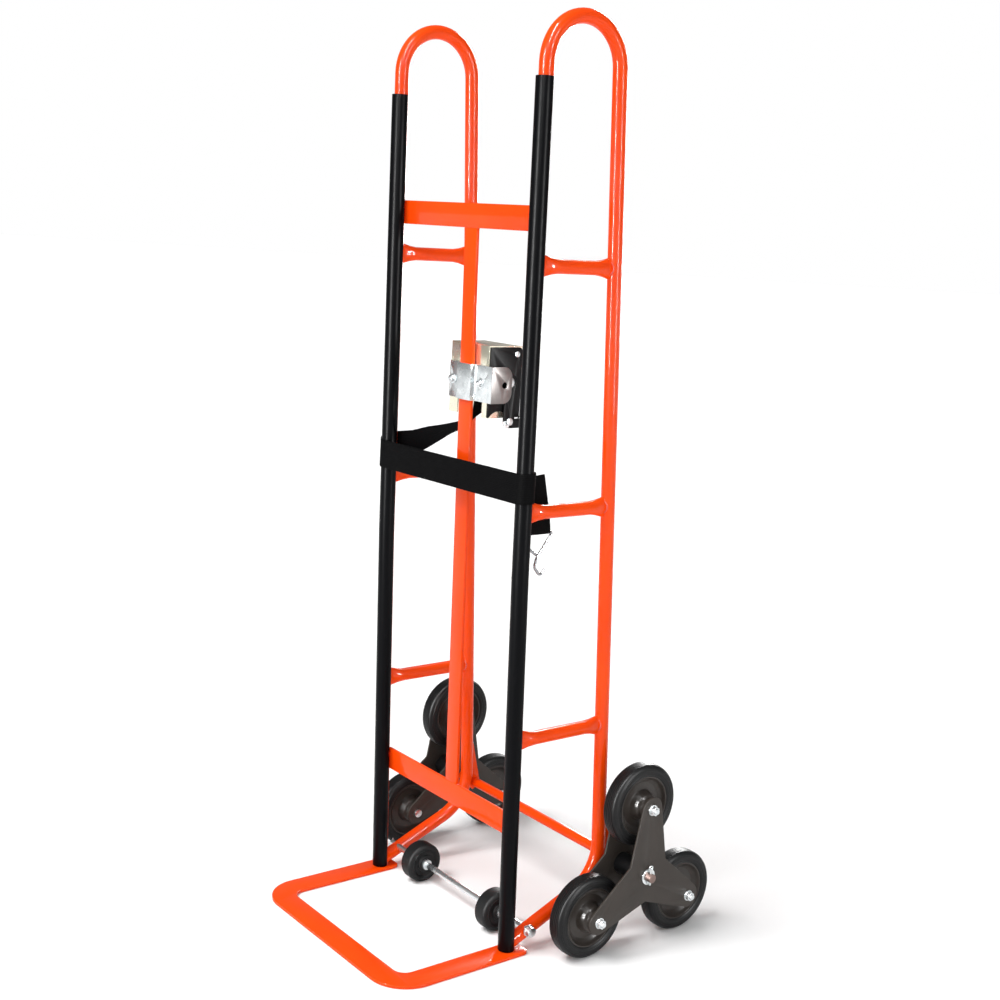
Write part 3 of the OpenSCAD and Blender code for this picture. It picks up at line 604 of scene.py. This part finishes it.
def strapPieces():
    turnIn = [
        ((railX - 5, wrapY + wrapR + 1, strapZ + 6), upright, (0.35, 1, 0), 49),
        ((tailX + 2, wrapY + wrapR + 8, strapZ + 8), upright, (1, 0.3, 0), 47),
    ]
    run = backRun + wrapped(-railX, 855, strapZ, 100, 270, 14)
    run += wrapped(railX, strapZ + 4, strapZ + 6, 270, 440, 14) + turnIn
    flatEnd = {**strapLook, "folds": False, "columns": 10, "step": 3.0}
    # the end turns under the hook's top wire and is sewn back on itself
    loopR = 3.0
    turned = []
    for k in range(9):
        angle = math.radians(-22.5 * k)
        place = (tailX + loopR * math.cos(angle), 27, wireZ + loopR * math.sin(angle))
        turned.append((place, (0, 1, 0), (math.cos(angle), 0, math.sin(angle)), 44))
    tail = tailRun + turned + [
        ((tailX - 1.6, 26, 778), (0, 1, -0.05), (1, 0, 0), 44),
        ((tailX - 1.2, 21, 806), (0, 1, -0.12), (1, 0, 0), 44),
    ]
    main = ribbon("webbingStrap", run, strapLook)
    end = ribbon("strapEnd", tail, flatEnd)
    piece = finished(joined([main, end]), "webbingStrap", webbing, "frame", 50)
    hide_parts("webbing_strap", "sewn_end")


# The strap wound on the winch's spool, as one long spiral
rollLook = {
    **strapLook,
    "folds": False,
    "columns": 6,
    "step": 9.0,
    "rolledWidth": 51.4,
    "pitch": 2.0,
    "innerR": 8.6,
    "outerR": 24.0,
    "stationsPerTurn": 20,
}


def woundStrap(look):
    low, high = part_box("webbing_roll")
    middle = (low + high) / 2 / mm
    stations = []
    turnsDone = 0.0
    radius = look["innerR"]
    while radius <= look["outerR"]:
        angle = -2 * math.pi * turnsDone
        out = (0, math.cos(angle), math.sin(angle))
        place = (middle.x, middle.y - shiftY / mm + radius * out[1], middle.z + radius * out[2])
        stations.append((place, (1, 0, 0), out, look["rolledWidth"]))
        turnsDone += 1 / look["stationsPerTurn"]
        radius = look["innerR"] + look["pitch"] * turnsDone
    roll = ribbon("woundStrap", stations, look)
    finished(roll, "woundStrap", webbing, "spool", 50)
    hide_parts("webbing_roll")


strapPieces()
woundStrap(rollLook)
print("strap made")

# Tyres: one section spun round each wheel's centre

# half of the section from the middle of the tread to the bead, as (radius, distance from the middle)
tyreSection = [
    (76.0, 1.6), (76.0, 1.7), (75.1, 2.0), (75.1, 2.6), (75.95, 2.9), (75.9, 5.6),
    (75.0, 5.9), (75.0, 6.5), (75.75, 6.8), (75.5, 9.4), (74.5, 9.7), (74.4, 10.3),
    (75.0, 10.6), (74.2, 12.4), (72.4, 14.3), (70.0, 15.6), (69.2, 15.8), (68.8, 15.4),
    (68.2, 15.5), (67.8, 16.1), (64.6, 16.5), (61.4, 16.5), (60.8, 16.1), (60.2, 16.5),
    (57.6, 16.1), (55.6, 15.0), (54.6, 14.2),
]


def spunTyre(middle, steps=120):
    section = [(r, -x) for r, x in reversed(tyreSection)] + tyreSection
    bpy.ops.object.select_all(action="DESELECT")
    bpy.ops.mesh.primitive_plane_add(size=0.01, location=(0, 0, 0))
    piece = bpy.context.object
    bpy.ops.object.mode_set(mode="EDIT")
    bpy.ops.mesh.delete(type="VERT")
    form = bmesh.from_edit_mesh(piece.data)
    ring = [form.verts.new(Vector((x * mm, 0, r * mm)) + middle) for r, x in section]
    for k in range(len(ring)):
        form.edges.new((ring[k], ring[(k + 1) % len(ring)]))
    bmesh.update_edit_mesh(piece.data)
    bpy.ops.mesh.select_all(action="SELECT")
    bpy.ops.mesh.spin(steps=steps, angle=2 * math.pi, center=middle, axis=(1, 0, 0))
    bpy.ops.mesh.select_all(action="SELECT")
    bpy.ops.mesh.remove_doubles(threshold=0.00001)
    bpy.ops.mesh.normals_make_consistent(inside=False)
    bpy.ops.object.mode_set(mode="OBJECT")
    return piece


for side in ("left", "right"):
    for k in (1, 2, 3):
        low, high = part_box(f"{side}_tyre_{k}")
        tyre = spunTyre((low + high) / 2)
        finished(tyre, f"{side}Tyre{k}", tyreRubber, f"{side}_wheel_{k}", 40)
        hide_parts(f"{side}_tyre_{k}")
print("tyres spun")

# Weld beads

beadLook = {"ripple": 0.45, "spacing": 2.6, "uneven": 0.08, "tip": 0.45, "taper": 0.3}
rng = random.Random(7)


def bead(points, radius, closed=False):
    path = [Vector(p) for p in points]
    if closed:
        path.append(path[0])
    walked = [path[0]]
    for a, b in zip(path, path[1:]):
        count = max(1, math.ceil((b - a).length / (beadLook["spacing"] / 3)))
        walked += [a.lerp(b, j / count) for j in range(1, count + 1)]
    if closed:
        walked.pop()
    curve = bpy.data.curves.new("bead", "CURVE")
    curve.dimensions = "3D"
    curve.bevel_depth = mm
    curve.bevel_resolution = 2
    curve.use_fill_caps = not closed
    line = curve.splines.new("POLY")
    line.points.add(len(walked) - 1)
    line.use_cyclic_u = closed
    for k, (point, place) in enumerate(zip(line.points, walked)):
        point.co = (place.x * mm, place.y * mm + shiftY, place.z * mm, 1)
        wave = 1 - beadLook["ripple"] / 2 + beadLook["ripple"] * abs(math.sin(math.pi * k / 3))
        swell = wave * rng.uniform(1 - beadLook["uneven"], 1 + beadLook["uneven"])
        ends = 1 if closed else min(1, beadLook["tip"] + beadLook["taper"] * min(k, len(walked) - 1 - k))
        point.radius = radius * swell * ends
    piece = bpy.data.objects.new("bead", curve)
    bpy.context.scene.collection.objects.link(piece)
    only(piece)
    bpy.ops.object.convert(target="MESH")
    return bpy.context.object


# where the side rails run, in millimetres and degrees
railLook = {
    "tubeR": 12.5,
    "bendZ": 690,
    "bendY": -21.68,
    "leanLow": 1.8,
    "leanHigh": 1.05,
    "rearFootY": 212,
    "rearLean": 3.45,
}


def frontY(z):
    if z < railLook["bendZ"]:
        return -z * math.tan(math.radians(railLook["leanLow"]))
    return railLook["bendY"] - (z - railLook["bendZ"]) * math.tan(math.radians(railLook["leanHigh"]))


def rearY(z):
    return railLook["rearFootY"] - z * math.tan(math.radians(railLook["rearLean"]))


def cornersOf(node):
    # lowest and highest corner of a node in millimetres
    low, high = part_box(node)
    return [v / mm for v in low], [v / mm for v in high]


def saddle(x, y, z, rx, rz):
    # ring where a squeezed tube meets the front of a rear rail
    ring = []
    for k in range(36):
        a = math.radians(10 * k)
        dx = rx * math.cos(a)
        reach = math.sqrt(max(0.0, railLook["tubeR"] ** 2 - dx**2))
        ring.append((x + dx, y - (reach + 0.2), z + rz * math.sin(a)))
    return ring


def rungs(count, first, step):
    return [first + step * k for k in range(count)]


weldLook = {
    "braceRing": (8.5, 11.5),
    "braceR": 1.3,
    "barR": 1.5,
    "barMiddle": 8,
    "barHalf": 4.4,
    "footRing": 13.3,
    "footZ": 6.6,
    "footR": 1.5,
    "postR": 1.3,
    "postGap": 0.4,
    "postOut": 0.3,
    "postBack": 3.2,
    "postRun": 6,
}


def sideWelds(side, look):
    x = side * railX
    beads = []
    for name in ("lower", "middle", "upper"):
        low, high = cornersOf(f"{'right' if side > 0 else 'left'}_{name}_brace")
        z = (low[2] + high[2]) / 2
        beads.append(bead(saddle(x, rearY(z), z, *look["braceRing"]), look["braceR"], closed=True))
    for bar in ("top_cross_bar", "lower_cross_bar"):
        low, high = cornersOf(bar)
        edge = side * (railX - railLook["tubeR"] + 0.2)
        y = frontY((low[2] + high[2]) / 2) + look["barMiddle"]
        heights = rungs(int((high[2] - low[2] - 4) / 2), low[2] + 2, 2)
        for face in (-look["barHalf"], look["barHalf"]):
            beads.append(bead([(edge, y + face, z) for z in heights], look["barR"]))
    foot = []
    for a in rungs(30, 32, 4):
        turn = math.radians(a)
        foot.append((x + look["footRing"] * math.cos(turn), look["footRing"] * math.sin(turn), look["footZ"]))
    beads.append(bead(foot, look["footR"]))
    return beads


def weldBeads(look):
    beads = sideWelds(-1, look) + sideWelds(1, look)
    low, high = cornersOf("centre_post")
    for bar, up in (("top_cross_bar", -1), ("lower_cross_bar", 1)):
        bottom, top = cornersOf(bar)
        z = bottom[2] - look["postGap"] if up < 0 else top[2] + look["postGap"]
        y = (bottom[1] + top[1]) / 2 - shiftY / mm + look["postBack"]
        for edge in (low[0] - look["postOut"], high[0] + look["postOut"]):
            beads.append(bead([(edge, y - look["postRun"], z), (edge, y, z)], look["postR"]))
    finished(joined(beads), "frameWelds", welded, "frame", 60)


weldBeads(weldLook)
print("welds laid")

# The clamp's ear faces away from the light, so its faces get a darker zinc as painted shade, and the lever's
# arm is black above its bright tab
def secondFinish(piece, material, test):
    piece.data.materials.append(material)
    for face in piece.data.polygons:
        if test(face.center / mm):
            face.material_index = 1


earDepth = 3.5
tabHeight = 26
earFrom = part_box("winch_clamp")[1].x / mm - earDepth
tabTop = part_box("ratchet_lever")[0].z / mm + tabHeight
# painted shade: the ear's faces take the darker zinc
secondFinish(bpy.data.objects["winch_clampBody"], earShadeZinc, lambda at: at.x > earFrom)
secondFinish(bpy.data.objects["ratchet_leverBody"], blackPlate, lambda at: at.z > tabTop)

# Floor and light

stageLook = {
    "floor": (0.90, 0.90, 0.90),
    "size": 400.0,
    "under": -0.4,
    "fill": 0.38,
    "sheen": 0.22,
    "backdrop": 1.0,
}


def glow(tree, strength):
    light = tree.nodes.new("ShaderNodeBackground")
    light.inputs["Color"].default_value = (1, 1, 1, 1)
    light.inputs["Strength"].default_value = strength
    return light


def chosen(tree, test, otherwise, when):
    # one light for the rays that the test names, another for all others
    choice = tree.nodes.new("ShaderNodeMixShader")
    tree.links.new(test, choice.inputs[0])
    tree.links.new(otherwise.outputs[0], choice.inputs[1])
    tree.links.new(when.outputs[0], choice.inputs[2])
    return choice


def addStage(look):
    bpy.ops.object.select_all(action="DESELECT")
    bpy.ops.mesh.primitive_plane_add(size=look["size"], location=(0, 0, look["under"] * mm))
    floor = bpy.context.object
    floor.name = "paleFloor"
    plain = Finish("paleFloor", Base_Color=look["floor"], Roughness=1.0)
    plain.set("Specular IOR Level", 0.0)
    floor.data.materials.append(plain.material)
    world = bpy.data.worlds.new("studio")
    world.use_nodes = True
    tree = world.node_tree
    tree.nodes.remove(tree.nodes["Background"])
    rays = tree.nodes.new("ShaderNodeLightPath")
    # reflections see a darker room, so that only the strips shine on the tubes
    room = chosen(tree, rays.outputs["Is Glossy Ray"], glow(tree, look["fill"]), glow(tree, look["sheen"]))
    sky = chosen(tree, rays.outputs["Is Camera Ray"], room, glow(tree, look["backdrop"]))
    tree.links.new(sky.outputs[0], tree.nodes["World Output"].inputs["Surface"])
    bpy.context.scene.world = world


def aimed(kind, place, aim, power):
    bpy.ops.object.select_all(action="DESELECT")
    bpy.ops.object.light_add(type=kind, location=place)
    lamp = bpy.context.object
    lamp.data.energy = power
    lamp.rotation_euler = (Vector(aim) - Vector(place)).to_track_quat("-Z", "Y").to_euler()
    return lamp.data


addStage(stageLook)
# two wide suns light the colours but leave no shine: place, aim, angle, strength
suns = {
    "high": ((-0.6, -2.4, 4.4), (0, 0, 0.6), 30, 3.1),
    "side": ((2.4, -2.0, 2.2), (0, 0, 0.8), 60, 1.2),
}
for place, aim, angle, strength in suns.values():
    sun = aimed("SUN", place, aim, strength)
    sun.angle = math.radians(angle)
    bpy.context.object.visible_glossy = False
# tall strips that show only as the bright lines along the tubes: place, aim, width, height, power
strips = {
    "front": ((0.6, -4.4, 1.7), (0, 0, 0.9), 0.45, 3.2, 620),
    "right": ((4.4, 0.9, 1.8), (0, 0, 0.8), 0.3, 3.2, 260),
    "top": ((1.6, -2.0, 4.4), (0, 0, 0.4), 0.4, 2.6, 380),
    "back": ((-2.6, 3.6, 2.2), (0, 0, 0.9), 0.6, 3.0, 260),
}
for name, (place, aim, width, height, power) in strips.items():
    strip = aimed("AREA", place, aim, power)
    strip.shape = "RECTANGLE"
    strip.size, strip.size_y = width, height
    bpy.context.object.name = name + "Strip"
    bpy.context.object.visible_diffuse = False
bpy.context.scene.view_settings.view_transform = "Standard"
print("stage lit")
